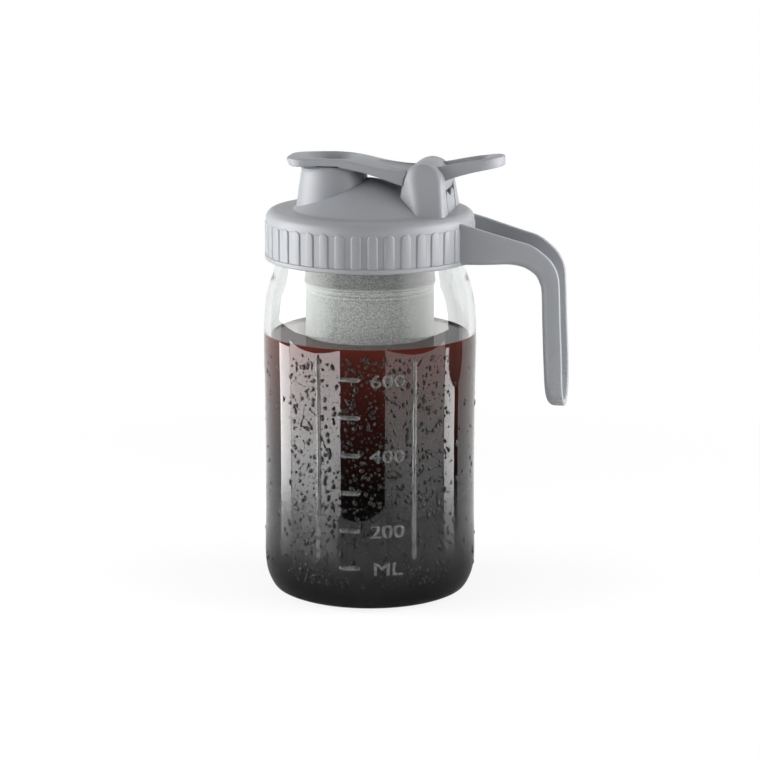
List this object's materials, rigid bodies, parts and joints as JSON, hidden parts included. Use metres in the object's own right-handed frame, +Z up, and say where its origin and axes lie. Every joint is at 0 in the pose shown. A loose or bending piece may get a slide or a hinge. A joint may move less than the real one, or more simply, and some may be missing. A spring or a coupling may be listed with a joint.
{
  "type": "cold brew coffee maker",
  "caption": "Wide-mouth glass jar with a screw-on pitcher lid, a flip cap over the pour spout, a channel pour handle and a hanging steel mesh filter.",
  "frame": {"origin": "on the surface the jar stands on, under the middle of the whole outline; the jar's own axis is 20 mm towards -X", "axes": "+Z up, spout towards -X, handle towards +X, level marks on the -Y side"},
  "size_m": [0.1336, 0.0936, 0.1956],
  "materials": {
    "glass": "clear polished pressed glass",
    "steel_mesh": "fine woven stainless mesh",
    "steel": "satin stainless sheet",
    "silicone": "matt translucent white silicone",
    "grey_plastic": "satin moulded mid-grey plastic"
  },
  "bodies": {
    "jar": {"glass_jar": "glass"},
    "filter": {"filter_mesh": "steel_mesh", "filter_band": "steel_mesh", "filter_base": "steel", "filter_rim": "steel", "filter_seal": "silicone"},
    "gasket": {"lid_gasket": "silicone"},
    "lid": {"screw_collar": "grey_plastic", "lid_dome": "grey_plastic", "pour_spout": "grey_plastic", "hinge_bracket": "grey_plastic", "pour_handle": "grey_plastic"},
    "cap": {"flip_cap": "grey_plastic", "carry_loop": "grey_plastic", "spout_seal": "silicone"}
  },
  "joints": [
    {"name": "filter_lift", "type": "slide", "parent": "jar", "child": "filter", "axis": [0, 0, 1], "range_m": [0, 0.165]},
    {"name": "lid_lift", "type": "slide", "parent": "filter", "child": "gasket", "axis": [0, 0, 1], "range_m": [0, 0.06]},
    {"name": "lid_turn", "type": "hinge", "parent": "gasket", "child": "lid", "pos_m": [-0.02, 0, 0.16], "axis": [0, 0, 1], "range_deg": [0, 450]},
    {"name": "cap_flip", "type": "hinge", "parent": "lid", "child": "cap", "pos_m": [0.0056, 0, 0.1835], "axis": [0, 1, 0], "range_deg": [0, 30]}
  ]
}
